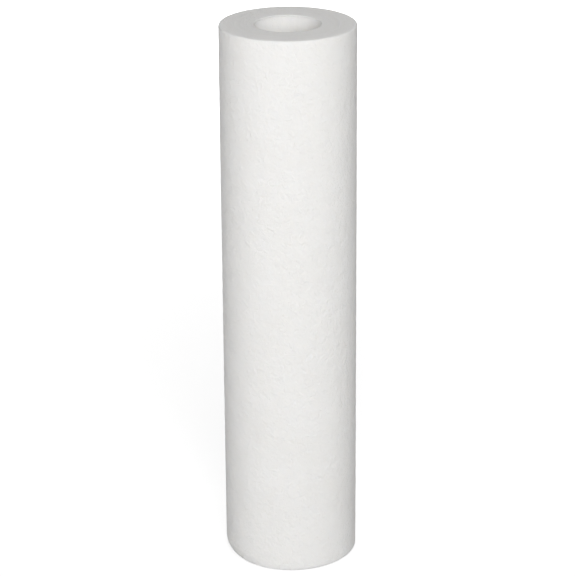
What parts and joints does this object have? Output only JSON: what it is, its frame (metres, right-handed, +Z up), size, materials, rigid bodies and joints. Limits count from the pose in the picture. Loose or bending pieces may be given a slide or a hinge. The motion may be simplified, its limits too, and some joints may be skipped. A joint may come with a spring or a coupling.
{
  "type": "sediment filter cartridge",
  "caption": "White melt-blown fibre depth filter: a thick plain tube with a straight open bore, flat ring ends and softly rounded rims, for a water filter housing.",
  "frame": {"origin": "centre of the lower end, where the bore's axis meets the plane of the lower ring face", "axes": "+Z up along the bore's axis, from the lower end to the upper end; X and Y are free, as the part is round"},
  "size_m": [0.0616, 0.0616, 0.254],
  "materials": {
    "bonded_fibre": "matt white bonded microfibre"
  },
  "bodies": {
    "root": {"filter_cartridge": "bonded_fibre"}
  },
  "joints": []
}
